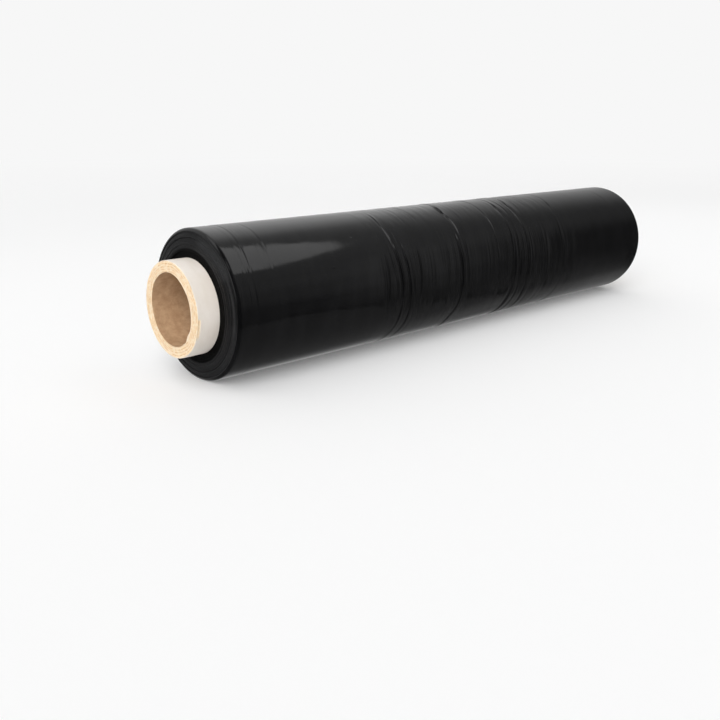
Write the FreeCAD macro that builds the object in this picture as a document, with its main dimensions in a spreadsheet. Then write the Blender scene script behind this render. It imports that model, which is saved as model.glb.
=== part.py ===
import FreeCAD, Part
import math
import os
import Sketcher

# A roll of black stretch film on its paperboard core, lying on its side.
# Millimetres, +X along the roll's axis, +Z up, origin on the floor under the middle.
# Two pieces: the spirally wound core tube, and the film wound on it, all turns as one solid.

V = FreeCAD.Vector
os.makedirs("parts", exist_ok=True)
doc = FreeCAD.newDocument("stretch_film_roll")

# ---- driving sizes -------------------------------------------------------------
sheet = doc.addObject("Spreadsheet::Sheet", "Sizes")
CELLS = [
    ("film_width", 500.0),         # width of the web, from end face to end face
    ("film_radius", 53.0),         # outside of the wound film
    ("shoulder_radius", 4.0),      # rounded rim where each end face meets the outside
    ("inner_ring_radius", 37.6),   # first turns next to the core, wound a little short
    ("inner_ring_depth", 0.6),     # how far those turns sit behind the end face
    ("flat_width", 14.0),          # flat spot that the soft roll lies on
    ("core_outer_radius", 33.0),   # outside of the core, where the first turn sits
    ("core_inner_radius", 25.0),   # bore of the core
    ("core_overhang", 16.0),       # core standing out of the film at each end
    ("core_edge_break", 0.4),      # worn edge of the cut board
]
for row, (alias, value) in enumerate(CELLS, start=1):
    sheet.set("A%d" % row, alias)
    sheet.set("B%d" % row, "%g" % value)
    sheet.setAlias("B%d" % row, alias)
doc.recompute()
SIZE = dict(CELLS)

AXIS_HEIGHT = "sqrt(Sizes.film_radius ^ 2 - (Sizes.flat_width / 2) ^ 2)"


def plane(body, role):
    """An origin plane of this body, by its role."""
    for feature in body.Origin.OriginFeatures:
        if feature.Role == role:
            return feature
    raise RuntimeError("no plane " + role)


def new_body(name):
    body = doc.addObject("PartDesign::Body", name)
    body.Label = name
    return body


def new_sketch(body, name, role):
    sketch = body.newObject("Sketcher::SketchObject", name)
    sketch.AttachmentSupport = [(plane(body, role), "")]
    sketch.MapMode = "FlatFace"
    return sketch


def datum(sketch, name, constraint, expression):
    """A named size in a sketch, driven by the sheet."""
    index = sketch.addConstraint(constraint)
    sketch.renameConstraint(index, name)
    sketch.setExpression("Constraints." + name, expression)


# ---- core tube: a board ring drawn across the axis and padded both ways ----------
core = new_body("core_tube")
ring = new_sketch(core, "core_ring", "YZ_Plane")
ring.addGeometry(Part.Circle(V(0, 0, 0), V(0, 0, 1), SIZE["core_outer_radius"]), False)
ring.addGeometry(Part.Circle(V(0, 0, 0), V(0, 0, 1), SIZE["core_inner_radius"]), False)
ring.addConstraint(Sketcher.Constraint("Coincident", 0, 3, -1, 1))
ring.addConstraint(Sketcher.Constraint("Coincident", 1, 3, -1, 1))
datum(ring, "outer", Sketcher.Constraint("Radius", 0, SIZE["core_outer_radius"]), "Sizes.core_outer_radius")
datum(ring, "inner", Sketcher.Constraint("Radius", 1, SIZE["core_inner_radius"]), "Sizes.core_inner_radius")

tube = core.newObject("PartDesign::Pad", "core_pad")
tube.Profile = ring
tube.SideType = "Symmetric"
tube.setExpression("Length", "Sizes.film_width + 2 * Sizes.core_overhang")
doc.recompute()

# the four rims of the cut ends, slightly broken
half_core = SIZE["film_width"] / 2 + SIZE["core_overhang"]
rims = []
for number, edge in enumerate(tube.Shape.Edges, start=1):
    if isinstance(edge.Curve, Part.Circle) and abs(abs(edge.CenterOfMass.x) - half_core) < 0.01:
        rims.append("Edge%d" % number)
if len(rims) != 4:
    raise RuntimeError("the core has %d rims, not 4" % len(rims))
breaks = core.newObject("PartDesign::Chamfer", "core_edge_breaks")
breaks.Base = (tube, rims)
breaks.Size = SIZE["core_edge_break"]
breaks.setExpression("Size", "Sizes.core_edge_break")
core.Tip = breaks
core.setExpression("Placement.Base.z", AXIS_HEIGHT)

# ---- film: half section of the wound web, revolved about the axis ---------------
film = new_body("film_roll")
half = SIZE["film_width"] / 2
r_core, r_ring, r_out = SIZE["core_outer_radius"], SIZE["inner_ring_radius"], SIZE["film_radius"]
deep, rim = SIZE["inner_ring_depth"], SIZE["shoulder_radius"]

section = new_sketch(film, "film_section", "XZ_Plane")


def line(x1, y1, x2, y2):
    return section.addGeometry(Part.LineSegment(V(x1, y1, 0), V(x2, y2, 0)), False)


def arc(cx, cy, r, start, end):
    circle = Part.Circle(V(cx, cy, 0), V(0, 0, 1), r)
    return section.addGeometry(Part.ArcOfCircle(circle, math.radians(start), math.radians(end)), False)


seat = line(-half + deep, r_core, half - deep, r_core)          # on the core
ring_b = line(half - deep, r_core, half - deep, r_ring)         # recessed first turns
step_b = line(half - deep, r_ring, half, r_ring)
face_b = line(half, r_ring, half, r_out - rim)                  # end face
round_b = arc(half - rim, r_out - rim, rim, 0, 90)              # rounded rim
outside = line(half - rim, r_out, -half + rim, r_out)           # outside of the roll
round_a = arc(-half + rim, r_out - rim, rim, 90, 180)
face_a = line(-half, r_out - rim, -half, r_ring)
step_a = line(-half, r_ring, -half + deep, r_ring)
ring_a = line(-half + deep, r_ring, -half + deep, r_core)

for first, second in ((seat, ring_b), (ring_b, step_b), (step_b, face_b),
                      (face_a, step_a), (step_a, ring_a), (ring_a, seat)):
    section.addConstraint(Sketcher.Constraint("Coincident", first, 2, second, 1))
for flat in (seat, step_b, outside, step_a):
    section.addConstraint(Sketcher.Constraint("Horizontal", flat))
for upright in (ring_b, face_b, face_a, ring_a):
    section.addConstraint(Sketcher.Constraint("Vertical", upright))
section.addConstraint(Sketcher.Constraint("Tangent", face_b, 2, round_b, 1))
section.addConstraint(Sketcher.Constraint("Tangent", round_b, 2, outside, 1))
section.addConstraint(Sketcher.Constraint("Tangent", outside, 2, round_a, 1))
section.addConstraint(Sketcher.Constraint("Tangent", round_a, 2, face_a, 1))

datum(section, "seat_r", Sketcher.Constraint("DistanceY", -1, 1, seat, 1, r_core), "Sizes.core_outer_radius")
datum(section, "out_r", Sketcher.Constraint("DistanceY", -1, 1, outside, 1, r_out), "Sizes.film_radius")
datum(section, "ring_rb", Sketcher.Constraint("DistanceY", -1, 1, step_b, 1, r_ring), "Sizes.inner_ring_radius")
datum(section, "ring_ra", Sketcher.Constraint("DistanceY", -1, 1, step_a, 2, r_ring), "Sizes.inner_ring_radius")
datum(section, "half_b", Sketcher.Constraint("DistanceX", -1, 1, face_b, 1, half), "Sizes.film_width / 2")
datum(section, "half_a", Sketcher.Constraint("DistanceX", face_a, 1, -1, 1, half), "Sizes.film_width / 2")
datum(section, "deep_b", Sketcher.Constraint("DistanceX", step_b, 1, step_b, 2, deep), "Sizes.inner_ring_depth")
datum(section, "deep_a", Sketcher.Constraint("DistanceX", step_a, 1, step_a, 2, deep), "Sizes.inner_ring_depth")
datum(section, "rim_b", Sketcher.Constraint("Radius", round_b, rim), "Sizes.shoulder_radius")
datum(section, "rim_a", Sketcher.Constraint("Radius", round_a, rim), "Sizes.shoulder_radius")

wound = film.newObject("PartDesign::Revolution", "film_wound")
wound.Profile = section
wound.ReferenceAxis = (section, ["H_Axis"])
wound.Angle = 360.0
doc.recompute()
volume_round = wound.Shape.Volume

# the flat spot under the roll, the same along its whole width
under = new_sketch(film, "flat_spot_outline", "YZ_Plane")
wide, low, high = 2 * SIZE["flat_width"], SIZE["film_radius"] + 2, math.sqrt(r_out ** 2 - (SIZE["flat_width"] / 2) ** 2)
corners = [V(-wide / 2, -low, 0), V(wide / 2, -low, 0), V(wide / 2, -high, 0), V(-wide / 2, -high, 0)]
for i in range(4):
    under.addGeometry(Part.LineSegment(corners[i], corners[(i + 1) % 4]), False)
for i in range(4):
    under.addConstraint(Sketcher.Constraint("Coincident", i, 2, (i + 1) % 4, 1))
under.addConstraint(Sketcher.Constraint("Horizontal", 0))
for i in (1, 3):
    under.addConstraint(Sketcher.Constraint("Vertical", i))
under.addConstraint(Sketcher.Constraint("Symmetric", 2, 1, 2, 2, -2))
datum(under, "block_width", Sketcher.Constraint("DistanceX", 0, 1, 0, 2, wide), "2 * Sizes.flat_width")
datum(under, "flat_height", Sketcher.Constraint("DistanceY", 2, 1, -1, 1, high), AXIS_HEIGHT)
datum(under, "block_depth", Sketcher.Constraint("DistanceY", 0, 1, -1, 1, low), "Sizes.film_radius + 2")

flat_spot = film.newObject("PartDesign::Pocket", "flat_spot")
flat_spot.Profile = under
flat_spot.SideType = "Symmetric"
flat_spot.setExpression("Length", "Sizes.film_width + 2")
film.Tip = flat_spot
film.setExpression("Placement.Base.z", AXIS_HEIGHT)
doc.recompute()

# ---- checks on the document ------------------------------------------------------
for obj in doc.Objects:
    bad = [word for word in obj.State if word in ("Invalid", "Error")]
    if bad:
        raise RuntimeError("%s: %s" % (obj.Name, bad))
for sketch in (ring, section, under):
    if sketch.solve() != 0:
        raise RuntimeError("%s does not solve" % sketch.Name)

cut_away = volume_round - film.Shape.Volume
half_angle = math.asin(SIZE["flat_width"] / 2 / r_out)
segment = r_out ** 2 * (half_angle - math.sin(half_angle) * math.cos(half_angle))
print("flat spot removes %.0f mm3, about %.0f expected" % (cut_away, segment * SIZE["film_width"]))
if not 0.9 < cut_away / (segment * SIZE["film_width"]) < 1.05:
    raise RuntimeError("the flat spot isn't cut as drawn")

core_expected = math.pi * (r_core ** 2 - SIZE["core_inner_radius"] ** 2) * 2 * half_core
print("core %.0f mm3, about %.0f expected" % (core.Shape.Volume, core_expected))
if abs(core.Shape.Volume / core_expected - 1) > 0.01:
    raise RuntimeError("the core isn't the tube drawn")

for body in (core, film):
    shape = body.Shape
    if shape.isNull() or not shape.isValid() or len(shape.Solids) != 1:
        raise RuntimeError(body.Label + " is not one valid solid")
    box = shape.BoundBox
    print("%s: volume %.0f mm3, x %.2f..%.2f y %.2f..%.2f z %.3f..%.2f" % (
        body.Label, shape.Volume, box.XMin, box.XMax, box.YMin, box.YMax, box.ZMin, box.ZMax))

for body in (core, film):
    body.Shape.exportStep(os.path.join("parts", body.Label + ".step"))
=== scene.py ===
import math

import bpy
import numpy as np
from mathutils import Matrix, Vector


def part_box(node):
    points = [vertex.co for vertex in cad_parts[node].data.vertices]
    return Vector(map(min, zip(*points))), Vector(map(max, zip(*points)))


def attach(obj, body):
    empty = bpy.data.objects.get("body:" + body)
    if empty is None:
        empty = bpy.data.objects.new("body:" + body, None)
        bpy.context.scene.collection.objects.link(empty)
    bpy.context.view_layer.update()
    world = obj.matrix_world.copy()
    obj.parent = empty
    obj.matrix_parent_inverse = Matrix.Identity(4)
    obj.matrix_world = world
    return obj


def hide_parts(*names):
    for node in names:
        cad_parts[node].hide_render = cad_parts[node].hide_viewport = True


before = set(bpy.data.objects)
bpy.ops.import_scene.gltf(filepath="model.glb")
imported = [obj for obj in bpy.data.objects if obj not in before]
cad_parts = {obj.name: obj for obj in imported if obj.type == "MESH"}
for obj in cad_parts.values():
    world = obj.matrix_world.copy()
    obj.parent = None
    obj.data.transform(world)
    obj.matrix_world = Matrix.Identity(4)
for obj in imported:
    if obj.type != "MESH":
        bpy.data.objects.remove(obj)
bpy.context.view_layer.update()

# ---------------------------------------------------------------------------------
# sizes, in millimetres, read from the frame
# x is measured from the near end face along the roll; theta is 0 on top and grows
# towards -Y, the side the camera is on
# ---------------------------------------------------------------------------------
film_lo, film_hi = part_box("film_roll")
core_lo, core_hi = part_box("core_tube")
WIDTH = (film_hi.x - film_lo.x) * 1000
R_CORE = (core_hi.z - core_lo.z) * 500
AXIS = (core_hi.z + core_lo.z) * 500
R_OUT = film_hi.z * 1000 - AXIS
CORE_HALF = core_hi.x * 1000
R_BORE = 25.0
R_RING, RING_DEEP = 37.6, 0.6
RIM = 4.0
SINK = 0.30            # the mesh's outside lies this far inside the CAD radius, so that ridges stay in it
TAU = 2 * math.pi


# ---------------------------------------------------------------------------------
# small numeric helpers, all seeded
# ---------------------------------------------------------------------------------
def smooth(t):
    t = np.clip(t, 0.0, 1.0)
    return t * t * (3 - 2 * t)


def around(theta, seed, low=1, high=6, fall=1.0):
    """Smooth periodic wobble about 0, roughly within -1..1."""
    rng = np.random.default_rng(seed)
    out = np.zeros_like(theta)
    total = 0.0
    for k in range(low, high + 1):
        a = rng.normal() / k ** fall
        out = out + a * np.cos(k * theta + rng.uniform(0, TAU))
        total += abs(a)
    return out / max(total, 1e-6) * 1.6


def along(x, seed, pitch, octaves=2):
    """Smooth noise along a line, within about -1..1."""
    out, amp, total = np.zeros_like(x), 1.0, 0.0
    for o in range(octaves):
        rng = np.random.default_rng(seed + 17 * o)
        table = rng.uniform(-1, 1, 4096)
        t = x / (pitch / 2 ** o) + 1024.5
        i = np.floor(t).astype(int)
        f = smooth(t - i)
        out += amp * (table[i % 4096] * (1 - f) + table[(i + 1) % 4096] * f)
        total += amp
        amp *= 0.5
    return out / total


def surface_noise(x, theta, seed, px, pa, radius=53.0):
    """Smooth noise over (x, theta), periodic in theta; px and pa are its sizes in mm."""
    rng = np.random.default_rng(seed)
    na = max(3, int(round(TAU * radius / pa)))
    table = rng.uniform(-1, 1, (1024, na))
    tx = x / px + 300.5
    ta = (theta / TAU * na) % na
    ix, ia = np.floor(tx).astype(int), np.floor(ta).astype(int)
    fx, fa = smooth(tx - ix), smooth(ta - ia)
    ia, ib = ia % na, (ia + 1) % na
    jx, kx = ix % 1024, (ix + 1) % 1024
    return ((table[jx, ia] * (1 - fa) + table[jx, ib] * fa) * (1 - fx)
            + (table[kx, ia] * (1 - fa) + table[kx, ib] * fa) * fx)


def build(name, points, slots, materials, attributes=None):
    """A closed mesh from a grid of points [column, angle, 3] in metres, wrapped both ways."""
    nc, na = points.shape[:2]
    mesh = bpy.data.meshes.new(name)
    index = np.arange(nc * na).reshape(nc, na)
    nxt = np.roll(index, -1, axis=0)
    quads = np.stack([index, np.roll(index, -1, axis=1), np.roll(nxt, -1, axis=1), nxt], axis=-1).reshape(-1, 4)
    mesh.vertices.add(nc * na)
    mesh.vertices.foreach_set("co", points.reshape(-1).astype(np.float32))
    mesh.loops.add(quads.size)
    mesh.loops.foreach_set("vertex_index", quads.reshape(-1).astype(np.int32))
    mesh.polygons.add(len(quads))
    mesh.polygons.foreach_set("loop_start", np.arange(0, quads.size, 4, dtype=np.int32))
    mesh.update(calc_edges=True)
    for material in materials:
        mesh.materials.append(material)
    mesh.polygons.foreach_set("material_index", np.repeat(slots, na).astype(np.int32))
    mesh.polygons.foreach_set("use_smooth", np.ones(len(quads), bool))
    for key, values in (attributes or {}).items():
        kind = "FLOAT_VECTOR" if values.ndim == 3 else "FLOAT"
        layer = mesh.attributes.new(key, kind, "POINT")
        layer.data.foreach_set("vector" if values.ndim == 3 else "value", values.reshape(-1).astype(np.float32))
    mesh.validate()
    obj = bpy.data.objects.new(name, mesh)
    bpy.context.scene.collection.objects.link(obj)
    return obj


# ---------------------------------------------------------------------------------
# node helpers
# ---------------------------------------------------------------------------------
class Nodes:
    def __init__(self, tree):
        self.tree = tree
        tree.nodes.clear()

    def add(self, kind, inputs=None, **settings):
        node = self.tree.nodes.new(kind)
        for key, value in settings.items():
            setattr(node, key, value)
        for key, value in (inputs or {}).items():
            self.put(node.inputs[key], value)
        return node

    def put(self, socket, value):
        if isinstance(value, bpy.types.NodeSocket):
            self.tree.links.new(value, socket)
        else:
            socket.default_value = value

    def math(self, op, a, b=0.0, c=0.0, clamp=False):
        node = self.add("ShaderNodeMath", {0: a, 1: b, 2: c}, operation=op)
        node.use_clamp = clamp
        return node.outputs[0]

    def ramp(self, value, a, b, lo=0.0, hi=1.0, kind="SMOOTHSTEP"):
        node = self.add("ShaderNodeMapRange", {0: value, 1: a, 2: b, 3: lo, 4: hi}, interpolation_type=kind)
        node.clamp = True
        return node.outputs[0]

    def noise(self, vector, scale=1.0, detail=2.0, rough=0.5, distort=0.0):
        node = self.add("ShaderNodeTexNoise", {"Vector": vector, "Scale": scale, "Detail": detail,
                                               "Roughness": rough, "Distortion": distort})
        return node.outputs["Fac"]

    def stretch(self, vector, scale, shift=(0, 0, 0)):
        node = self.add("ShaderNodeMapping", {"Vector": vector, "Location": shift, "Scale": scale})
        return node.outputs[0]

    def mix(self, factor, a, b):
        node = self.add("ShaderNodeMix", data_type="RGBA")
        node.clamp_factor = True
        self.put(node.inputs["Factor"], factor)
        self.put(node.inputs[6], a)
        self.put(node.inputs[7], b)
        return node.outputs[2]

    def bump(self, height, strength, distance, normal=None):
        inputs = {"Height": height, "Strength": strength, "Distance": distance}
        if normal is not None:
            inputs["Normal"] = normal
        return self.add("ShaderNodeBump", inputs).outputs[0]

    def attribute(self, name):
        node = self.add("ShaderNodeAttribute", attribute_name=name, attribute_type="GEOMETRY")
        return node


def material(name):
    m = bpy.data.materials.new(name)
    m.use_nodes = True
    return m, Nodes(m.node_tree)


def rgba(r, g, b):
    return (r, g, b, 1.0)


# ---------------------------------------------------------------------------------
# materials
# ---------------------------------------------------------------------------------
def pimple_at(x, theta):
    """Where a pimple is in the film's own coordinates."""
    return ((x + FACE_RUN) * 0.001, 0.053 * math.cos(math.radians(theta)), 0.053 * math.sin(math.radians(theta)))


def film_material():
    """Glossy black film: fine lines round the roll, soft waviness, a faint haze, a few pimples."""
    m, n = material("black_film")
    rest = n.attribute("rest").outputs["Vector"]
    busy = n.attribute("busy").outputs["Fac"]

    lines = n.noise(n.stretch(rest, (620, 6, 6)), 1.0, 2.0, 0.6)
    fine = n.noise(n.stretch(rest, (1900, 14, 14), (3.1, 0, 0)), 1.0, 2.0, 0.6)
    patch = n.noise(n.stretch(rest, (45, 22, 22), (7.7, 2, 1)), 1.0, 2.0, 0.5)
    patch = n.ramp(patch, 0.40, 0.60)
    strong = n.math("MULTIPLY", busy, n.math("MULTIPLY_ADD", patch, 0.80, 0.20))
    cut = n.ramp(lines, 0.58, 0.70, 0.0, 1.0)                      # sparse narrow ridges
    height = n.math("MULTIPLY_ADD", cut, 0.7, n.math("MULTIPLY", fine, 0.40))
    height = n.math("MULTIPLY", height, strong)
    for x, theta, size in PIMPLES:                                 # grit under the last turn
        at = n.add("ShaderNodeVectorMath", {0: rest, 1: pimple_at(x, theta)}, operation="DISTANCE").outputs["Value"]
        height = n.math("ADD", height, n.ramp(at, size, size * 0.15, 0.0, 2.2))
    one = n.bump(height, 0.75, 0.00022)

    wave = n.noise(n.stretch(rest, (34, 26, 26), (1.3, 4, 2)), 1.0, 1.0, 0.5)
    ripple = n.noise(n.stretch(rest, (230, 60, 60), (5.3, 1, 9)), 1.0, 2.0, 0.5)
    soft = n.math("MULTIPLY_ADD", ripple, 0.04, wave)
    two = n.bump(soft, 0.35, 0.0006, one)

    haze = n.noise(n.stretch(rest, (60, 30, 30), (2.2, 8, 3)), 1.0, 4.0, 0.6)
    rough = n.ramp(haze, 0.30, 0.75, 0.075, 0.125, "LINEAR")
    rough = n.math("MULTIPLY_ADD", strong, 0.05, rough)
    tone = n.noise(n.stretch(rest, (110, 20, 20), (9, 3, 1)), 1.0, 3.0, 0.6)
    colour = n.mix(n.ramp(tone, 0.35, 0.75), rgba(0.0025, 0.0025, 0.0028), rgba(0.0050, 0.0050, 0.0054))

    shader = n.add("ShaderNodeBsdfPrincipled", {
        "Base Color": colour, "Roughness": rough, "IOR": 1.5, "Specular IOR Level": 0.5, "Normal": two})
    n.add("ShaderNodeOutputMaterial", {"Surface": shader.outputs[0]})
    return m


def edge_material():
    """The cut edges of all the turns, seen on the end faces: fine concentric ridges, dull, with a painted sheen that
    makes some sectors paler, and painted near black next to the recessed ring.
    """
    m, n = material("film_turn_edges")
    rest = n.attribute("rest").outputs["Vector"]
    deep = n.attribute("deep").outputs["Fac"]
    painted_sheen = n.attribute("painted_sheen").outputs["Fac"]
    rings = n.noise(n.stretch(rest, (1700, 3, 3)), 1.0, 3.0, 0.65)
    broad = n.noise(n.stretch(rest, (480, 9, 9), (2.7, 0, 3)), 1.0, 2.0, 0.5)
    grain = n.noise(n.stretch(rest, (2200, 300, 300), (0.7, 5, 3)), 1.0, 2.0, 0.6)
    height = n.math("MULTIPLY_ADD", rings, 1.0, n.math("MULTIPLY", grain, 0.30))
    one = n.bump(height, 0.9, 0.0007)
    tone = n.math("MULTIPLY_ADD", broad, 0.55, n.math("MULTIPLY", grain, 0.45))
    colour = n.mix(n.ramp(tone, 0.40, 0.66), rgba(0.0022, 0.0022, 0.0025), rgba(0.0085, 0.0085, 0.0092))
    # painted sheen: the end faces are made paler by sector, a reflection drawn into the colour
    painted_sheen_level = n.math("MULTIPLY", painted_sheen, n.ramp(tone, 0.30, 0.70, 0.55, 1.0))
    colour = n.mix(painted_sheen_level, colour, rgba(0.0250, 0.0252, 0.0262))
    # painted shade: the face just past the recessed ring is made near black
    colour = n.mix(deep, colour, rgba(0.0008, 0.0008, 0.0008))
    rough = n.ramp(broad, 0.3, 0.7, 0.30, 0.46, "LINEAR")
    rough = n.math("MULTIPLY_ADD", deep, 0.35, rough)
    shader = n.add("ShaderNodeBsdfPrincipled", {
        "Base Color": colour, "Roughness": rough, "IOR": 1.5, "Specular IOR Level": 0.11, "Normal": one})
    n.add("ShaderNodeOutputMaterial", {"Surface": shader.outputs[0]})
    return m


def gap_material():
    """First turns next to the core, set back in the recess: painted dead black for the shade there."""
    m, n = material("film_inner_turns")
    rest = n.attribute("rest").outputs["Vector"]
    grain = n.noise(n.stretch(rest, (2200, 300, 300), (0.7, 5, 3)), 1.0, 3.0, 0.6)
    colour = n.mix(n.ramp(grain, 0.52, 0.72), rgba(0.0006, 0.0006, 0.0007), rgba(0.0040, 0.0040, 0.0042))
    normal = n.bump(grain, 0.8, 0.0006)
    shader = n.add("ShaderNodeBsdfPrincipled", {
        "Base Color": colour, "Roughness": n.ramp(grain, 0.3, 0.7, 0.55, 0.75, "LINEAR"), "IOR": 1.45,
        "Specular IOR Level": 0.08, "Normal": normal})
    n.add("ShaderNodeOutputMaterial", {"Surface": shader.outputs[0]})
    return m


def paper_material():
    """White paper outer ply: faint streaks along the wind, fibres."""
    m, n = material("white_outer_ply")
    rest = n.attribute("rest").outputs["Vector"]
    streak = n.noise(n.stretch(rest, (75, 38, 38)), 1.0, 3.0, 0.6)
    blot = n.noise(n.stretch(rest, (60, 45, 45), (4, 1, 2)), 1.0, 3.0, 0.6)
    fibre = n.noise(n.stretch(rest, (2400, 900, 900), (1, 7, 2)), 1.0, 3.0, 0.65)
    colour = n.mix(n.ramp(streak, 0.32, 0.70), rgba(0.790, 0.722, 0.645), rgba(0.850, 0.792, 0.728))
    colour = n.mix(n.ramp(blot, 0.40, 0.75, 0.0, 0.5), colour, rgba(0.790, 0.715, 0.640))
    colour = n.mix(n.ramp(fibre, 0.55, 0.75, 0.0, 0.25), colour, rgba(0.70, 0.62, 0.54))
    height = n.math("MULTIPLY_ADD", fibre, 0.5, n.math("MULTIPLY", streak, 0.5))
    normal = n.bump(height, 0.5, 0.00012)
    torn = n.attribute("torn").outputs["Fac"]
    bare = n.mix(n.ramp(fibre, 0.40, 0.65), rgba(0.83, 0.61, 0.38), rgba(0.93, 0.78, 0.57))
    colour = n.mix(torn, colour, bare)
    shader = n.add("ShaderNodeBsdfPrincipled", {
        "Base Color": colour, "Roughness": n.ramp(fibre, 0.3, 0.7, 0.62, 0.80, "LINEAR"), "IOR": 1.45,
        "Specular IOR Level": 0.35, "Normal": normal})
    n.add("ShaderNodeOutputMaterial", {"Surface": shader.outputs[0]})
    return m


def board_material():
    """Cut end of the board: plies as wavy rings, torn fibres."""
    m, n = material("cut_board_end")
    rest = n.attribute("rest").outputs["Vector"]
    ply = n.attribute("ply").outputs["Fac"]
    wobble = n.noise(n.stretch(rest, (120, 60, 60)), 1.0, 3.0, 0.6)
    turned = n.math("MULTIPLY_ADD", wobble, 1.6, ply)
    wave = n.math("SINE", n.math("MULTIPLY", turned, TAU))
    band = n.ramp(wave, -0.2, 0.95)
    fibre = n.noise(n.stretch(rest, (1900, 700, 700), (1, 7, 2)), 1.0, 4.0, 0.7)
    blot = n.noise(n.stretch(rest, (420, 260, 260), (3, 3, 2)), 1.0, 3.0, 0.65)
    line = n.ramp(wave, 0.72, 0.98)
    colour = n.mix(band, rgba(0.830, 0.630, 0.405), rgba(0.760, 0.525, 0.305))
    colour = n.mix(n.ramp(blot, 0.46, 0.58, 0.0, 0.85), colour, rgba(0.840, 0.700, 0.520))
    colour = n.mix(n.ramp(fibre, 0.52, 0.64, 0.0, 0.55), colour, rgba(0.860, 0.765, 0.620))
    colour = n.mix(n.ramp(fibre, 0.46, 0.36, 0.0, 0.45), colour, rgba(0.660, 0.430, 0.245))
    colour = n.mix(n.math("MULTIPLY", line, n.ramp(blot, 0.60, 0.40, 0.05, 0.70)), colour, rgba(0.590, 0.365, 0.195))
    edge = n.attribute("edge").outputs["Fac"]
    colour = n.mix(edge, colour, rgba(0.860, 0.750, 0.630))
    height = n.math("MULTIPLY_ADD", fibre, 0.8, n.math("MULTIPLY", line, -0.45))
    normal = n.bump(height, 1.0, 0.00045)
    shader = n.add("ShaderNodeBsdfPrincipled", {
        "Base Color": colour, "Roughness": n.ramp(fibre, 0.3, 0.7, 0.80, 0.95, "LINEAR"), "IOR": 1.45,
        "Specular IOR Level": 0.2, "Normal": normal})
    n.add("ShaderNodeOutputMaterial", {"Surface": shader.outputs[0]})
    return m


def kraft_material():
    """Brown kraft inner ply in the bore: mottled, matte."""
    m, n = material("kraft_bore")
    rest = n.attribute("rest").outputs["Vector"]
    cloud = n.noise(n.stretch(rest, (190, 150, 150)), 1.0, 4.0, 0.62)
    fibre = n.noise(n.stretch(rest, (1500, 600, 600), (1, 7, 2)), 1.0, 3.0, 0.65)
    fleck = n.noise(n.stretch(rest, (900, 700, 700), (11, 7, 5)), 1.0, 1.0, 0.5)
    colour = n.mix(n.ramp(cloud, 0.28, 0.72), rgba(0.425, 0.262, 0.146), rgba(0.560, 0.372, 0.225))
    colour = n.mix(n.ramp(fibre, 0.50, 0.78, 0.0, 0.45), colour, rgba(0.640, 0.465, 0.295))
    colour = n.mix(n.ramp(fleck, 0.74, 0.80, 0.0, 0.8), colour, rgba(0.66, 0.54, 0.40))
    seam = n.attribute("seam").outputs["Fac"]
    colour = n.mix(n.math("MULTIPLY", seam, 0.7), colour, rgba(0.16, 0.10, 0.055))
    height = n.math("MULTIPLY_ADD", fibre, 0.5, n.math("MULTIPLY", cloud, 0.5))
    normal = n.bump(height, 0.6, 0.00018)
    shader = n.add("ShaderNodeBsdfPrincipled", {
        "Base Color": colour, "Roughness": n.ramp(fibre, 0.3, 0.7, 0.70, 0.88, "LINEAR"), "IOR": 1.45,
        "Specular IOR Level": 0.3, "Normal": normal})
    n.add("ShaderNodeOutputMaterial", {"Surface": shader.outputs[0]})
    return m


# ---------------------------------------------------------------------------------
# the film
# ---------------------------------------------------------------------------------
# how far the lines round the roll lean, in mm, by place along it: they are not quite square to it
LEAN_X = [0, 8, 17, 60, 150, 220, 300, 366, 430, 480, 500]
LEAN_A = [0, 1.5, 4.5, 4.0, 4.5, 9.0, 9.0, 7.5, 4.0, 0.5, 0]


FACE_RUN = 30.0       # film coordinate along the profile: x + this on the outside


def lean(x0, theta):
    g = 0.5 + 0.5 * np.cos(2 * theta)
    g = g * (1 - 0.35 * smooth((np.sin(-theta)) * 1.5))
    return np.interp(x0, LEAN_X, LEAN_A) * g


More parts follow.
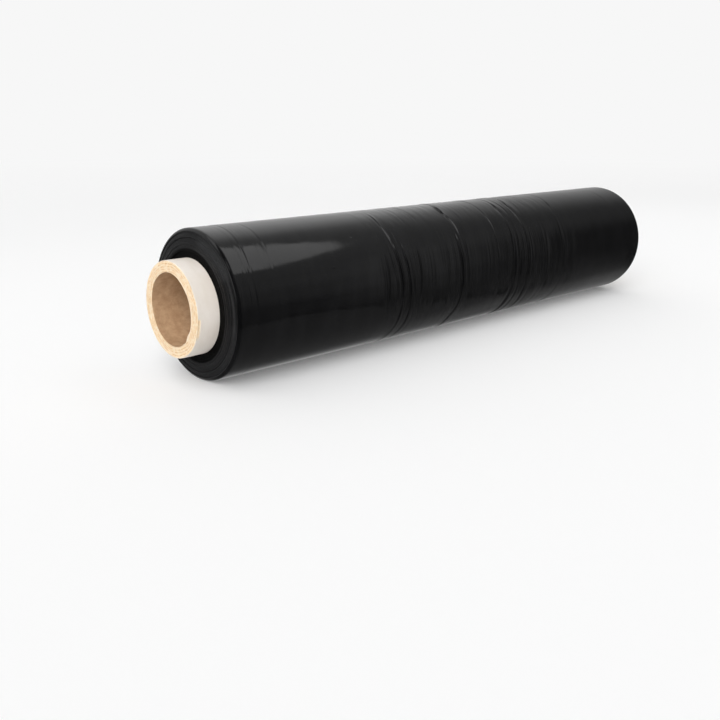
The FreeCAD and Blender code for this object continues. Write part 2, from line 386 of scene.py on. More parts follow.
# each crease: place at theta = 90, its path where it differs, (theta in degrees, x),
# then groove depth and half width, ridge height and offset, shoulder height and width, window in theta
CREASES = [
    dict(x=17.5, path=[(0, 22), (30, 20), (60, 17), (90, 17.5)], groove=0.18, w=0.7, ridge=0.10, off=1.1, swell=0.04, sw=2.5,
         see=[(0, 1.0), (35, 0.9), (60, 0.6), (95, 0.5), (150, 0.3)]),
    dict(x=12.8, path=[(0, 17), (60, 12.5), (90, 13)], groove=0.11, w=0.6, ridge=0.05, off=0.9, swell=0.03, sw=2.0,
         see=[(0, 0.9), (60, 0.7), (95, 0.5), (150, 0.2)]),
    dict(x=34.0, path=[(20, 38), (45, 36), (90, 34)], groove=0.20, w=0.8, ridge=0.12, off=1.3, swell=0.04, sw=2.5, win=(28, 26)),
    dict(x=134.0, path=[], groove=0.11, w=0.6, ridge=0.0, off=0.8, swell=0.03, sw=2.0,
         see=[(66, 0), (78, 0.9), (98, 1.0), (104, 0.3), (150, 0.2)]),
    dict(x=137.3, path=[], groove=0.26, w=0.65, ridge=0.05, off=0.9, swell=0.03, sw=2.0,
         see=[(57, 0), (66, 0.8), (98, 1.0), (104, 0.3), (150, 0.2)]),
    dict(x=146.0, path=[(0, 150), (20, 146), (45, 144), (90, 146)], groove=0.28, w=0.8, ridge=0.0, off=1.0, swell=0.0, sw=2.0,
         see=[(0, 0.3), (20, 0.3), (34, 0.12), (50, 0.12), (60, 0.7), (68, 0.85), (100, 0.85), (108, 0.4), (150, 0.3)]),
    dict(x=149.2, path=[(0, 154), (20, 150.5), (45, 148.2), (60, 149.6), (90, 151), (120, 153)], groove=0.36, w=0.75, ridge=0.22, off=1.5,
         swell=0.02, sw=3.0, see=[(0, 0.22), (18, 0.30), (34, 0.40), (48, 0.50), (56, 0.75), (64, 1.0), (100, 1.0), (110, 1.25), (135, 1.1), (150, 0.8)]),
    dict(x=158.0, path=[(0, 162), (60, 158), (90, 159.5), (120, 163)], groove=0.54, w=0.8, ridge=0.10, off=1.2, swell=0.04, sw=3.0,
         see=[(52, 0), (62, 0.7), (72, 1.0), (101, 1.0), (108, 0.95), (140, 0.8)]),
    dict(x=163.0, path=[(60, 163), (90, 164.5), (120, 168)], groove=0.26, w=0.7, ridge=0.08, off=1.0, swell=0.04, sw=3.0,
         see=[(56, 0), (66, 0.5), (95, 0.7), (112, 0.8), (140, 0.7)]),
    dict(x=172.0, path=[], groove=0.30, w=0.65, ridge=0.06, off=1.0, swell=0.03, sw=3.0,
         see=[(12, 0.5), (32, 0.5), (39, 0), (57, 0), (66, 0.9), (96, 0.9), (104, 0.2)]),
    dict(x=185.0, path=[], groove=0.20, w=0.6, ridge=0.05, off=1.0, swell=0.03, sw=3.0,
         see=[(12, 0.8), (30, 0.8), (38, 0), (150, 0)]),
    dict(x=219.5, path=[(40, 223), (60, 221.6), (95, 221.2), (120, 222), (135, 220)], groove=0.52, w=0.8, ridge=0.10, off=1.8,
         swell=0.09, sw=4.0, see=[(0, 0.08), (49, 0.08), (60, 0.85), (100, 1.0), (108, 1.35), (135, 1.2)]),
    dict(x=226.0, path=[(-5, 233), (5, 230.5), (20, 226), (40, 227), (70, 224)], groove=0.62, w=1.1, ridge=0.23, off=2.0,
         swell=0.11, sw=4.0, win=(18, 40)),
    dict(x=229.0, path=[], groove=0.20, w=0.6, ridge=0.0, off=0.9, swell=0.03, sw=2.0,
         see=[(56, 0), (64, 0.8), (95, 0.8), (102, 0.2)]),
    dict(x=233.0, path=[], groove=0.12, w=0.5, ridge=0.07, off=0.9, swell=0.03, sw=2.0, win=(26, 18)),
    dict(x=238.0, path=[], groove=0.11, w=0.5, ridge=0.06, off=0.9, swell=0.03, sw=2.0, win=(26, 16)),
    dict(x=269.0, path=[(15, 274), (30, 273), (50, 271.5)], groove=0.30, w=0.8, ridge=0.10, off=1.3, swell=0.04, sw=3.0,
         see=[(10, 0.9), (34, 0.6), (50, 0.7), (60, 0.5), (95, 0.5), (120, 0.2)]),
    dict(x=291.5, path=[(20, 297), (25, 296), (60, 293), (110, 290.5), (135, 292.5)], groove=0.85, w=1.7, ridge=0.16, off=2.8,
         swell=0.16, sw=6.0, see=[(0, 0.35), (20, 0.45), (27, 0.8), (37, 0.30), (56, 0.30), (64, 0.9), (140, 1.0)]),
    dict(x=299.0, path=[(20, 304), (60, 300), (110, 299), (135, 301)], groove=0.50, w=1.2, ridge=0.08, off=1.8, swell=0.05, sw=4.0,
         see=[(0, 0.5), (30, 0.5), (38, 0.15), (56, 0.2), (70, 0.7), (90, 1.0), (140, 1.0)]),
    dict(x=311.0, path=[(0, 321), (20, 314.5), (40, 313), (60, 313.5), (80, 311), (110, 310.5), (130, 313.5)], groove=0.95, w=1.7,
         ridge=0.17, off=-2.6, swell=-0.16, sw=6.0, see=[(0, 0.9), (31, 1.0), (38, 0.40), (56, 0.40), (64, 0.95), (140, 1.0)]),
    dict(x=318.0, path=[(0, 328), (40, 320), (90, 317), (130, 321)], groove=0.20, w=0.9, ridge=0.08, off=1.4, swell=0.04, sw=3.0,
         see=[(0, 0.4), (30, 0.5), (38, 0.1), (56, 0.1), (66, 0.7), (140, 0.8)]),
    dict(x=334.0, path=[], groove=0.30, w=0.8, ridge=0.05, off=1.2, swell=0.04, sw=3.0,
         see=[(15, 0.4), (36, 0.2), (56, 0.3), (75, 0.9), (96, 1.0), (110, 0.4)]),
    dict(x=339.0, path=[], groove=0.22, w=0.8, ridge=0.0, off=1.2, swell=0.04, sw=3.0,
         see=[(60, 0), (72, 0.9), (98, 1.0), (110, 0.3)]),
    dict(x=364.0, path=[(20, 372), (45, 366), (70, 364), (100, 365)], groove=0.55, w=1.3, ridge=0.12, off=2.0, swell=0.09, sw=4.0,
         see=[(0, 0.25), (20, 0.4), (30, 0.9), (38, 0.35), (56, 0.35), (66, 0.9), (102, 1.0), (125, 0.5)]),
    dict(x=370.0, path=[(20, 377), (45, 371), (70, 369.5)], groove=0.18, w=0.8, ridge=0.05, off=1.2, swell=0.04, sw=3.0,
         see=[(10, 0.3), (30, 0.5), (38, 0.2), (56, 0.2), (66, 0.7), (95, 0.8), (110, 0.3)]),
    dict(x=461.0, path=[(30, 463)], groove=0.13, w=0.9, ridge=0.06, off=1.4, swell=0.04, sw=3.0, win=(38, 24)),
]


PIMPLES = [(86.0, 65.0, 0.0011), (112.0, 42.0, 0.0010), (115.5, 46.0, 0.0008), (47.0, 118.0, 0.0010),
           (402.0, 70.0, 0.0011), (61.0, 214.0, 0.0011), (333.0, 251.0, 0.0012), (180.0, 300.0, 0.0010)]


def crease_path(c, theta):
    """x of the crease at each angle, periodic; the measured points are offsets from the common lean."""
    plain = c["x"] + lean(np.array(c["x"]), theta)
    if not c["path"]:
        return plain
    deg = np.array([p[0] for p in c["path"]], float)
    xs = np.array([p[1] for p in c["path"]], float)
    off = xs - (c["x"] + lean(np.array(c["x"]), np.radians(deg)))
    deg = np.concatenate([[deg[0] - 60], deg, [deg[-1] + 60]])
    off = np.concatenate([[0], off, [0]])
    t = np.degrees(theta)
    t = np.where(t > 235, t - 360, t)
    fine = np.linspace(-125, 235, 721)
    v = np.interp(fine, deg, off, left=0, right=0)
    k = np.exp(-0.5 * (np.arange(-24, 25) / 9.0) ** 2)
    v = np.convolve(np.pad(v, 24, mode="edge"), k / k.sum(), mode="valid")
    return plain + np.interp(t, fine, v)


def outside_spacing(start, stop):
    """Columns along the outside: close together where there are creases."""
    fine = np.linspace(start, stop, 20001)
    middle = smooth((fine - 118) / 12) * (1 - smooth((fine - 376) / 14))
    density = (1 - middle) / 2.3 + middle / 0.66
    for c in CREASES:
        near = np.exp(-0.5 * ((fine - c["x"] - 0.6) / 2.6) ** 2)
        density = np.maximum(density, near * min(1 / 0.38, 0.9 + 5.0 * c["groove"]))
    total = np.concatenate([[0], np.cumsum((density[1:] + density[:-1]) / 2 * np.diff(fine))])
    return fine, total


def film_mesh(materials):
    na = 120
    theta = np.arange(na) / na * TAU

    # profile columns from the near seat round to the far seat: (x0, r, kind, how far up the rim)
    def end_columns(dish, rim):
        """One end: recessed ring, end face whose outer turns sit back by dish, rounded rim."""
        cols = [(RING_DEEP, r, "ring", 0.0) for r in np.linspace(R_CORE + 0.05, R_RING - 0.30, 16)]
        cols.append((RING_DEEP - 0.12, R_RING - 0.12, "ring", 0.0))
        cols.append((RING_DEEP * 0.45, R_RING, "ring", 0.0))
        top = R_OUT - rim
        for r in np.linspace(R_RING, top, 46):
            cols.append((dish * ((r - R_RING) / (top - R_RING)) ** 1.6, max(r, R_RING + 0.12), "face", 0.0))
        for a in np.radians(np.linspace(0, 90, 11)[1:-1]):
            cols.append((dish + rim - rim * math.cos(a), top + rim * math.sin(a), "rim", math.sin(a)))
        return cols, dish + rim

    near, start = end_columns(2.2, 2.7)
    far, stop = end_columns(0.3, 2.6)
    fine, total = outside_spacing(start, WIDTH - stop)
    n_out = 828 - len(near) - len(far)
    xs = np.interp(np.linspace(0, total[-1], n_out), total, fine)
    cols = near + [(x, R_OUT, "out", 1.0) for x in xs] + [(WIDTH - x, r, k, t) for x, r, k, t in reversed(far)]
    rise = np.array([c[3] for c in cols])
    x0 = np.array([c[0] for c in cols])
    r0 = np.array([c[1] for c in cols])
    kind = np.array([c[2] for c in cols])
    s = np.concatenate([[0], np.cumsum(np.hypot(np.diff(x0), np.diff(r0)))])
    s = s - s[len(near)] + FACE_RUN + xs[0]

    X0, T = np.meshgrid(x0, theta, indexing="ij")
    X = X0 + np.where((kind == "out")[:, None], lean(X0, T), 0.0)
    R = np.repeat(r0[:, None], na, axis=1)

    # outside: all relief lies below the CAD radius
    relief = np.zeros_like(R)
    out = kind == "out"
    xo, to = X[out], T[out]
    d = np.zeros_like(xo)
    busy = np.zeros_like(xo)
    for i, c in enumerate(CREASES):
        u = xo - crease_path(c, to)
        amp = np.clip(0.66 + 0.46 * around(to, 100 + i, 2, 9, 0.6), 0.05, 1.15)
        if "see" in c:
            deg = np.degrees(to)
            deg = np.where(deg > 235, deg - 360, deg)
            drawn = np.interp(deg, [q[0] for q in c["see"]], [q[1] for q in c["see"]])
            drawn = drawn * (0.92 + 0.16 * around(to, 700 + i, 5, 16, 0.2))
            side = smooth((deg + 30) / 20) * (1 - smooth((deg - 145) / 20))
            amp = amp * (1 - side) + drawn * side
        if "win" in c:
            centre, half = c["win"]
            away = np.abs((np.degrees(to) - centre + 180) % 360 - 180)
            amp = amp * (0.10 + 0.90 * (1 - smooth((away - 0.55 * half) / (0.9 * half))))
        u = u + 0.35 * around(to, 500 + i, 3, 12, 0.4)
        d += amp * (-c["groove"] * np.exp(-(u / c["w"]) ** 2)
                    + c["ridge"] * np.exp(-((u - c["off"]) / (c["w"] * 0.85)) ** 2)
                    + c["swell"] * (u / c["sw"]) * np.exp(-0.5 * (u / c["sw"]) ** 2) * 1.6)
        busy = np.maximum(busy, np.clip(amp, 0, 1) * np.exp(-0.5 * (u / 7.0) ** 2) * min(1.0, 6 * c["groove"]))
    # many faint lines in the middle of the roll
    deg = np.degrees(to)
    calm = 1 - 0.80 * smooth((deg - 24) / 9) * (1 - smooth((deg - 56) / 8))
    rng = np.random.default_rng(41)
    for i in range(84):
        at = rng.uniform(124, 376)
        centre, half = rng.uniform(0, 360), rng.uniform(18, 80)
        deep, wide = rng.uniform(0.02, 0.085), rng.uniform(0.5, 0.9)
        u = xo - (at + lean(np.array(at), to) + 0.5 * around(to, 300 + i, 1, 4))
        away = np.abs((np.degrees(to) - centre + 180) % 360 - 180)
        if 236 < at < 287 or 342 < at < 376:
            deep *= 0.45
        d += -deep * calm * np.exp(-(u / wide) ** 2) * (1 - smooth((away - 0.4 * half) / half)) * rng.choice([-1, 1])
    # a mesh of short lines round the roll, in patches
    patch = smooth((surface_noise(xo, to, 15, 30.0, 55.0) + 0.35) / 0.7) * smooth((xo - 120) / 20) * (1 - smooth((xo - 366) / 24))
    tight = surface_noise(xo - lean(X0[out], to), to, 16, 1.9, 48.0)
    loose = surface_noise(xo - lean(X0[out], to), to, 17, 4.4, 70.0)
    patch = patch * (1 - 0.5 * smooth((xo - 234) / 8) * (1 - smooth((xo - 284) / 6)))
    d += calm * patch * (0.040 * np.sign(tight) * np.abs(tight) ** 1.3 + 0.055 * loose)
    # short ripples on the top and the back, where the web went on loose
    turned = (deg + 180) % 360 - 180
    loose_turn = smooth((turned - 6) / 8) * (1 - smooth((turned - 33) / 8)) + 0.5 * smooth((-turned - 10) / 10)
    ripples = surface_noise(xo - lean(X0[out], to), to, 18, 3.4, 10.0)
    d += 0.065 * ripples * loose_turn * smooth((xo - 128) / 16) * (1 - smooth((xo - 372) / 24))
    # slow waviness and slight bands in the wind
    d += 0.030 * along(X0[out], 7, 46.0, 2) + 0.018 * surface_noise(X0[out], to, 8, 60.0, 60.0)
    d += 0.010 * surface_noise(X0[out], to, 9, 22.0, 30.0)
    end = np.minimum(xo, WIDTH - xo)
    d *= smooth((end - RIM + 1.0) / 6.0) * 0.9 + 0.1
    relief[out] = d - SINK
    # the rim runs into that level
    rim = kind == "rim"
    relief[rim] = -SINK * rise[rim][:, None] + 0.05 * around(T[rim], 61, 3, 14, 0.3) * smooth(rise[rim][:, None] * 2) - 0.02
    R = np.minimum(R + relief, R_OUT - 0.03)
    # two folds of the web that stand up by a millimetre on the top, still under the roll's height
    turn = (np.degrees(to) + 180) % 360 - 180
    for at, high, wide, off, centre, half in ((226.0, 1.25, 1.0, 0.9, 17.0, 17.0), (311.0, 1.60, 1.2, 0.2, 17.0, 17.0),
                                              (149.2, 0.45, 0.9, 1.2, 18.0, 12.0), (291.5, 0.45, 1.1, 1.6, 20.0, 12.0)):
        c = [q for q in CREASES if q["x"] == at][0]
        u = xo - crease_path(c, to) - off
        R[out] += high * np.exp(-(u / wide) ** 2) * (1 - smooth(np.abs(turn - centre) / half))
    R = np.minimum(R, (R_OUT - 0.03) / np.maximum(np.abs(np.cos(T)), np.abs(np.sin(T))))

    # end faces: turns stand a little proud of or behind each other
    sign = np.where(x0 < WIDTH / 2, 1.0, -1.0)[:, None]
    seed_side = np.where(x0 < WIDTH / 2, 0.0, 400.0)[:, None]
    face = (kind == "face") | (kind == "ring") | (kind == "rim")
    bent = R + 0.25 * around(T, 62, 1, 7, 0.6) + seed_side
    ripple = 0.20 * along(bent, 11, 1.05, 1) + 0.07 * along(bent, 12, 0.55, 1)
    ripple += 0.16 * along(bent, 13, 4.3, 1) + 0.06 * surface_noise(R * 6 + seed_side, T, 14, 4.0, 30.0)
    grooves = np.zeros_like(R)
    for r_at, deep, wide in ((49.7, 0.70, 0.40), (46.0, 0.60, 0.45), (51.9, 0.35, 0.26), (43.4, 0.20, 0.25), (41.2, 0.20, 0.25)):
        wob = 0.18 * around(T, int(r_at * 10), 1, 5)
        grooves += deep * np.exp(-((R - r_at - wob) / wide) ** 2) * (0.75 + 0.3 * around(T, int(r_at * 20), 1, 6))
    fade = np.where(kind == "rim", 0.7, np.where(kind == "ring", 0.5, 1.0))[:, None]
    inward = np.where(face[:, None], (0.12 + 0.8 * ripple + grooves) * fade, 0.0)
    inward = np.maximum(inward, 0.0)
    inward *= smooth((R_OUT - R) / 1.5 + 0.15)
    X = X + sign * inward
    X = np.clip(X, 0.0, WIDTH)

    Y = -R * np.sin(T)
    Z = AXIS + R * np.cos(T)
    # the flat spot: the roll is pressed flat where it lies, with a soft edge to the flat
    low = 0.02
    Z = np.where(Z < low + 0.25, low + 0.25 * np.exp(np.minimum((Z - low - 0.25) / 0.25, 0)), Z)
    Z = np.where(Z < low, low, Z) - low
    P = np.stack([X - WIDTH / 2, Y, Z], axis=-1) * 0.001

    rest = np.stack([np.repeat(s[:, None], na, 1), 53 * np.cos(T), 53 * np.sin(T)], axis=-1) * 0.001
    busy_all = np.full_like(R, 0.5)
    broad = 0.06 + 0.40 * smooth((X0[out] - 122) / 26) * (1 - smooth((X0[out] - 372) / 30))
    busy_all[out] = np.clip(broad + busy * 0.75, 0, 1) * (0.35 + 0.65 * calm)
    # columns without relief of their own end: slot 0 film, slot 1 turn edges
    slot = np.select([kind == "face", kind == "ring"], [1, 2], 0)
    slot[-1] = 2
    # painted shade: 1 on the ring, fading out over the face just past it; the turn edges draw it near black
    deep = np.where((kind == "ring")[:, None], 1.0, smooth((R_RING + 2.3 - R) / 1.3) * face[:, None])
    # painted sheen: some sectors of the end faces are painted paler than others, standing in for the turns' reflections
    deg = (np.degrees(T) + 90) % 360 - 90 + 3.0 * around(T, 71, 3, 9, 0.4)
    across = (R - R_RING) / (R_OUT - R_RING)
    painted_sheen = np.interp(deg, [-90, -60, -20, 6, 16, 40, 58, 63, 92, 97, 120, 150, 200, 240, 270],
                     [0.10, 0.06, 0.10, 0.35, 0.90, 1.0, 0.85, 0.22, 0.16, 0.55, 0.70, 0.35, 0.15, 0.30, 0.10])
    painted_sheen = painted_sheen * (0.65 + 0.5 * smooth(across * 1.5)) * (0.85 + 0.3 * surface_noise(R * 3, T, 72, 6.0, 18.0))
    # painted highlight: one turn that stands out is drawn as a thin pale line, as if it caught the light
    proud = np.exp(-((R - 47.9 - 0.12 * around(T, 73, 1, 6)) / 0.42) ** 2)
    painted_sheen = painted_sheen + 2.1 * proud * smooth((deg - 18) / 14) * (1 - smooth((deg - 94) / 14))
    return build("film_wrap", P, slot, materials, {
        "rest": rest, "busy": busy_all, "deep": deep, "painted_sheen": np.clip(painted_sheen, 0, 1)})


# ---------------------------------------------------------------------------------
# the core
# ---------------------------------------------------------------------------------
def core_mesh(materials):
    na = 288
    theta = np.arange(na) / na * TAU
    half = CORE_HALF
    stand = half - WIDTH / 2                      # how far it stands out of the film
    cols = []                                     # (x from the near end, r, kind)
    edge = 0.45
    for r in np.linspace(R_BORE + edge, R_CORE - edge, 40):
        cols.append((0.0, r, "cut"))
    for a in (22, 45, 68):
        cols.append((edge - edge * math.cos(math.radians(a)), R_CORE - edge + edge * math.sin(math.radians(a)), "lip"))
    for x in np.concatenate([np.linspace(edge, stand + 2.5, 44)]):
        cols.append((x, R_CORE, "paper"))
    near = list(cols)
    mirror = [(2 * half - x, r, k) for x, r, k in reversed(near)]
    bore_x = np.concatenate([np.linspace(edge, 60, 48), np.linspace(60, half, 16)[1:]])
    bore_near = [(x, R_BORE, "bore") for x in bore_x]
    bore_far = [(2 * half - x, r, k) for x, r, k in bore_near[:-1]]
    inner_lip_near = [(edge - edge * math.sin(math.radians(a)), R_BORE + edge - edge * math.cos(math.radians(a)), "inlip")
                      for a in (22, 45, 68)]
    inner_lip_far = [(2 * half - x, r, k) for x, r, k in reversed(inner_lip_near)]
    # one closed loop: near cut end, outside, far cut end, bore back to the near end
    cols = near + mirror + inner_lip_far + bore_far + bore_near[::-1] + inner_lip_near
    x0 = np.array([c[0] for c in cols])
    r0 = np.array([c[1] for c in cols])
    kind = np.array([c[2] for c in cols])

    X0, T = np.meshgrid(x0, theta, indexing="ij")
    R = np.repeat(r0[:, None], na, 1)
    X = X0.copy()
    side = np.where(x0 < half, 1.0, -1.0)[:, None]
    shift = np.where(x0 < half, 0.0, 900.0)[:, None]
    cut = np.isin(kind, ["cut", "lip", "inlip"])[:, None]
    # the saw's cut: plies stand proud or tear back, wavy round the ring
    wavy = R + 0.35 * around(T, 21, 2, 11, 0.6) + shift
    plies = 0.10 * along(wavy, 22, 0.75, 2) + 0.05 * surface_noise(R * 9 + shift, T, 23, 5.0, 6.0, 29.0)
    torn = 0.07 * np.abs(surface_noise(R * 5 + shift, T, 24, 6.0, 2.6, 29.0))
    inward = np.where(cut, 0.14 + plies + torn, 0.0)
    tilt = 0.16 * (1 + np.cos(T - 2.1))                       # cut not quite square
    X = X + side * np.maximum(inward + np.where(cut, tilt * 0.5, 0.0), 0.0)
    near_end = np.minimum(X0, 2 * half - X0)
    X = X + side * np.where(cut, 0.0, tilt * 0.5 * (1 - smooth(near_end / 4.0)))
    # edges: fuzzy, worn round, a nick in the bore's edge at the lower right
    fuzz_o = 0.10 * surface_noise(X0 * 0 + shift, T, 25, 5.0, 2.2, 33.0) + 0.10 * around(T, 26, 3, 17, 0.3)
    fuzz_i = 0.10 * surface_noise(X0 * 0 + shift, T, 27, 5.0, 2.0, 25.0) + 0.22 * around(T, 28, 2, 9, 0.5)
    near_edge = 1 - smooth(near_end / 1.6)
    outer = (R > (R_CORE + R_BORE) / 2)
    R = R + np.where(outer, np.minimum(fuzz_o - 0.12, 0) * near_edge, 0.0) * smooth((R - 29) / 3.4)
    R = R + np.where(~outer, np.maximum(fuzz_i + 0.10, -0.05) * near_edge, 0.0) * smooth((29 - R) / 3.4)
    # the tube isn't truly round, and the paper has a soft unevenness
    paper = (kind == "paper")[:, None]
    R = R - np.where(paper, 0.04 + 0.035 * surface_noise(X0, T, 29, 7.0, 12.0, 33.0), 0.0)
    # spiral butt joint of the outer ply, and of the inner ply down the bore
    pitch_o, pitch_i = 118.0, 104.0
    po = ((X0 - T / TAU * pitch_o) % pitch_o)
    joint_o = np.exp(-((po - 30.0) / 0.45) ** 2)
    R = R - np.where(paper, 0.10 * joint_o, 0.0)
    pi_ = ((X0 + T / TAU * pitch_i) % pitch_i)
    joint_i = np.exp(-((pi_ - 26.0) / 0.6) ** 2)
    bore = (kind == "bore")[:, None]
    R = R + np.where(bore, 0.05 + 0.05 * surface_noise(X0, T, 30, 9.0, 14.0, 25.0) + 0.16 * joint_i, 0.0)
    R = np.minimum(R, R_CORE)
    # out of round by the pull of the film: narrower across the camera's side
    squeeze = -0.55 * smooth(np.sin(T)) + 0.20 * smooth(-np.sin(T)) + 0.30 * smooth(-np.cos(T))
    squeeze = squeeze - np.where(outer, 0.0, 0.45 * smooth(np.sin(T) * 1.2))
    R = R + squeeze * (1 - smooth((near_end - 4.0) / 14.0))
    # the outer ply torn back a little at the lower right of the near end, and a burr in the bore's edge under it
    angle = (np.degrees(T) + 180) % 360 - 180
    burr = 0.9 * np.exp(-((angle - 127) / 7.0) ** 2) - 0.5 * np.exp(-((angle - 141) / 5.0) ** 2)
    R = R - np.where((x0 < half)[:, None] & ~outer, burr * near_edge * smooth((28.5 - R) / 3.0), 0.0)
    tear = smooth((angle - 92) / 1.5) * (1 - smooth((angle - 112) / 9)) * (x0 < half)[:, None]
    reach = 2.3 + 0.5 * around(T, 32, 6, 20, 0.3)
    torn_f = tear * (1 - smooth((X0 - reach + 0.4) / 0.8)) * paper
    R = R - 0.40 * torn_f * (1 - 0.3 * surface_noise(X0, T, 33, 1.0, 1.6, 33.0))

    P = np.stack([X - half, -R * np.sin(T), AXIS + R * np.cos(T)], axis=-1) * 0.001
    rest = np.stack([np.where(cut, R + shift, X0), 33 * np.cos(T), 33 * np.sin(T)], axis=-1) * 0.001
    ply = (R - R_BORE) / 1.75 + 0.22 * around(T, 31, 2, 9, 0.6)
    edge_f = np.where(outer, smooth((R - (R_CORE - 0.75)) / 0.5), smooth(((R_BORE + 0.5) - R) / 0.5) * 0.35)
    slot = np.select([kind == "cut", kind == "lip", kind == "paper", kind == "inlip"], [0, 0, 1, 0], 2)
    # faces between columns take the first column's slot
    return build("core_board", P, slot, materials, {
        "rest": rest, "ply": ply, "edge": edge_f, "torn": torn_f, "seam": np.where(bore, joint_i, joint_o)})


film = film_mesh([film_material(), edge_material(), gap_material()])
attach(film, "root")
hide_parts("film_roll")

core = core_mesh([board_material(), paper_material(), kraft_material()])
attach(core, "root")
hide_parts("core_tube")


# ---------------------------------------------------------------------------------
# floor
# ---------------------------------------------------------------------------------
PALE = 0.93             # the backdrop that the floor runs into
FLOOR_LIFT = 0.15


def floor():
    mesh = bpy.data.meshes.new("floor")
    n, size = 24, 40.0
    g = np.linspace(-size, size, n + 1)
    gx, gy = np.meshgrid(g, g, indexing="ij")
    pts = np.stack([gx, gy, np.full_like(gx, -0.0002)], -1).reshape(-1, 3)
    faces = [(i * (n + 1) + j, (i + 1) * (n + 1) + j, (i + 1) * (n + 1) + j + 1, i * (n + 1) + j + 1)
             for i in range(n) for j in range(n)]
    mesh.from_pydata(pts.tolist(), [], faces)
    m, nd = material("floor_paper")
    where = nd.add("ShaderNodeTexCoord").outputs["Object"]
    tone = nd.noise(where, 0.7, 2.0, 0.5)
    colour = nd.mix(tone, rgba(0.80, 0.80, 0.80), rgba(0.82, 0.82, 0.82))
    shader = nd.add("ShaderNodeBsdfPrincipled", {"Base Color": colour, "Roughness": 0.95, "Specular IOR Level": 0.1})
    lift = nd.add("ShaderNodeEmission", {"Color": rgba(1, 1, 1), "Strength": FLOOR_LIFT})
    near = nd.add("ShaderNodeAddShader", {0: shader.outputs[0], 1: lift.outputs[0]})
    sweep = nd.add("ShaderNodeEmission", {"Color": rgba(1, 1, 1), "Strength": PALE})
    far = nd.add("ShaderNodeVectorMath", {0: where}, operation="LENGTH").outputs["Value"]
    both = nd.add("ShaderNodeMixShader", {0: nd.ramp(far, 0.7, 3.2), 1: near.outputs[0], 2: sweep.outputs[0]})
    nd.add("ShaderNodeOutputMaterial", {"Surface": both.outputs[0]})
    mesh.materials.append(m)
    obj = bpy.data.objects.new("floor", mesh)
    bpy.context.scene.collection.objects.link(obj)
    obj.visible_glossy = False


floor()


# ---------------------------------------------------------------------------------
# light
# ---------------------------------------------------------------------------------
def compass(azimuth, elevation):
    """Unit vector: azimuth 0 is -Y, 90 is +X; elevation above the floor, in degrees."""
    a, e = math.radians(azimuth), math.radians(elevation)
    return Vector((math.sin(a) * math.cos(e), -math.cos(a) * math.cos(e), math.sin(e)))


def sun(name, azimuth, elevation, strength, spread, colour=(1, 1, 1)):
    light = bpy.data.lights.new(name, "SUN")
    light.energy, light.angle, light.color = strength, math.radians(spread), colour
    obj = bpy.data.objects.new(name, light)
    bpy.context.scene.collection.objects.link(obj)
    obj.rotation_mode = "QUATERNION"
    obj.rotation_quaternion = compass(azimuth, elevation).to_track_quat("Z", "Y")
    obj.visible_glossy = False


sun("key", -54, 30, 2.7, 50)
sun("top", -50, 74, 0.55, 40)


def studio_world():
    """A dim room with a wide bright backdrop behind the roll and soft glows beside and above."""
    world = bpy.data.worlds.new("studio")
    bpy.context.scene.world = world
    world.use_nodes = True
    n = Nodes(world.node_tree)
    d = n.add("ShaderNodeTexCoord").outputs["Generated"]

    def along_axis(v):
        return n.add("ShaderNodeVectorMath", {0: d, 1: tuple(v)}, operation="DOT_PRODUCT").outputs["Value"]

    def lobe(azimuth, elevation, radius, strength):
        return n.ramp(along_axis(compass(azimuth, elevation)), math.cos(math.radians(radius)), 1.0, 0.0, strength)

    room = n.ramp(along_axis((1, 0, 0)), 0.08, 0.46, 0.004, 0.088)
    # an edge in the room below, curved: lighter under it, a darker line just over it
    run = n.ramp(along_axis((1, 0, 0)), 0.545, 0.790, 0.545, 0.790, "LINEAR")
    curve = -21.8279
    curve = n.math("MULTIPLY_ADD", n.math("MULTIPLY_ADD", n.math("MULTIPLY_ADD", run, 68.8297, -142.2829), run, 96.3250), run, curve)
    up = along_axis((0, 0, 1))
    over = n.math("SUBTRACT", up, curve)
    # a soft upright band of light at eye height, and a dimmer corner past it
    out_x = along_axis((1, 0, 0))
    band = n.math("MULTIPLY", n.ramp(out_x, 0.62, 0.70, 0.0, 0.105), n.ramp(out_x, 0.79, 0.725, 0.0, 1.0))
    band = n.math("MULTIPLY", band, n.math("MULTIPLY", n.ramp(up, -0.45, -0.15), n.ramp(up, 0.57, 0.43)))
    corner = n.math("MULTIPLY", n.ramp(out_x, 0.77, 0.87, 0.0, -0.048), n.math("MULTIPLY", n.ramp(up, -0.38, -0.12), n.ramp(up, 0.48, 0.24)))
    low = n.math("MULTIPLY", n.ramp(out_x, 0.79, 0.86, 0.0, 0.10), n.ramp(up, -0.38, -0.62))
    foot = n.math("MULTIPLY", n.ramp(out_x, 0.853, 0.872, 0.0, -0.055), n.ramp(up, -0.12, -0.34))
    shade = n.math("MULTIPLY", n.ramp(out_x, 0.70, 0.765, 0.0, -0.024), n.ramp(over, 0.13, 0.0))
    for part in (lobe(170, 20, 85, 0.64), lobe(150, 40, 28, 0.26), lobe(100, -30, 18, 0.10),
                 lobe(40, 50, 42, 0.22), lobe(40, 10, 18, 0.10), lobe(-115, 30, 50, 0.16),
                 n.ramp(over, 0.006, -0.006, 0.0, 0.095), n.ramp(over, 0.085, 0.0, 0.0, -0.035), band,
                 corner, low, shade, foot, lobe(116, 50, 9.5, -0.035), lobe(-90, 16, 24, 0.80)):
        room = n.math("ADD", room, part)
    room = n.math("MAXIMUM", room, 0.003)
    path = n.add("ShaderNodeLightPath").outputs["Is Camera Ray"]
    level = n.math("MULTIPLY_ADD", path, n.math("SUBTRACT", PALE, room), room)
    shade = n.add("ShaderNodeCombineColor", {0: level, 1: level, 2: level})
    back_node = n.add("ShaderNodeBackground", {"Color": shade.outputs[0], "Strength": 1.0})
    n.add("ShaderNodeOutputWorld", {"Surface": back_node.outputs[0]})


studio_world()


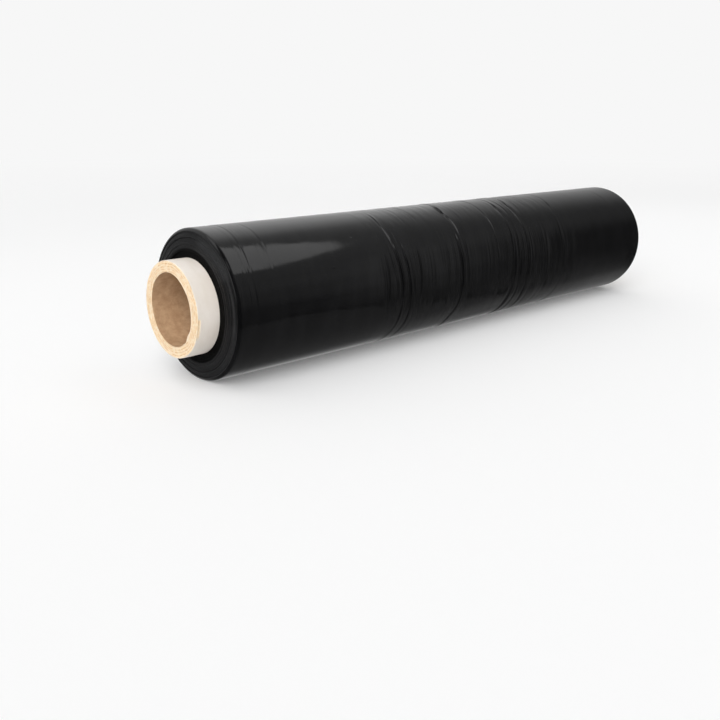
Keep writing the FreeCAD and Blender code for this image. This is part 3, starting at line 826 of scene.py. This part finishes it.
def softbox(corners, strength):
    """A flat panel light, its corners in metres."""
    mesh = bpy.data.meshes.new("softbox")
    mesh.from_pydata([tuple(c) for c in corners], [], [tuple(range(len(corners)))])
    m, n = material("softbox_cloth")
    where = n.add("ShaderNodeTexCoord").outputs["Object"]
    tone = n.noise(where, 1.5, 1.0, 0.5)
    glow = n.add("ShaderNodeEmission", {"Color": (1, 1, 1, 1), "Strength": n.ramp(tone, 0.2, 0.8, strength * 0.9, strength * 1.1)})
    n.add("ShaderNodeOutputMaterial", {"Surface": glow.outputs[0]})
    mesh.materials.append(m)
    obj = bpy.data.objects.new("softbox", mesh)
    bpy.context.scene.collection.objects.link(obj)
    obj.visible_camera = False
    obj.visible_shadow = False
    return obj


SOFTBOX = [(0.30, 0.13), (0.457, 0.114), (0.484, 0.097), (0.545, 0.064), (0.607, 0.027), (0.639, -0.014), (0.671, -0.051),
           (0.705, -0.088), (0.740, -0.129), (0.777, -0.179), (0.827, -0.277), (0.868, -0.393), (0.876, -0.487), (0.872, -0.546),
           (0.862, -0.602), (0.854, -0.667), (0.847, -0.734), (0.837, -0.793), (0.827, -0.862), (0.797, -0.928), (0.735, -0.984),
           (0.45, -1.03), (0.30, -1.03)]
SOFTBOX = [(x, y, 1.2) for x, y in SOFTBOX]
softbox(SOFTBOX, 1.30)
softbox([(-0.34, 0.16, 1.2), (0.06, 0.16, 1.2), (0.06, 0.56, 1.2), (-0.34, 0.56, 1.2)], 0.7)
softbox([(-1.30, 0.12, 1.2), (-0.36, 0.12, 1.2), (-0.36, 0.60, 1.2), (-1.30, 0.60, 1.2)], 1.1)
softbox([(-1.30, -0.80, 1.2), (-0.55, -0.80, 1.2), (-0.55, -0.40, 1.2), (-1.30, -0.40, 1.2)], 0.6)


# ---------------------------------------------------------------------------------
# camera, from a pinhole fit to the outlines of the roll
# ---------------------------------------------------------------------------------
def camera():
    data = bpy.data.cameras.new("camera")
    data.sensor_width, data.lens = 36.0, 41.08
    data.clip_start, data.clip_end = 0.02, 200.0
    obj = bpy.data.objects.new("camera", data)
    bpy.context.scene.collection.objects.link(obj)
    right = Vector((0.73243, -0.68085, 0.0)).normalized()
    ahead = Vector((0.65327, 0.70276, -0.28172)).normalized()
    right = (right - ahead * right.dot(ahead)).normalized()
    up = right.cross(ahead).normalized()
    place = Vector((-0.25 - 0.28733, -0.47677, AXIS * 0.001 + 0.12202))
    m = Matrix((right, up, -ahead)).transposed().to_4x4()
    m.translation = place
    obj.matrix_world = m
    bpy.context.scene.camera = obj


camera()
bpy.context.scene.view_settings.view_transform = "Standard"
bpy.context.scene.view_settings.look = "None"

bpy.context.view_layer.update()
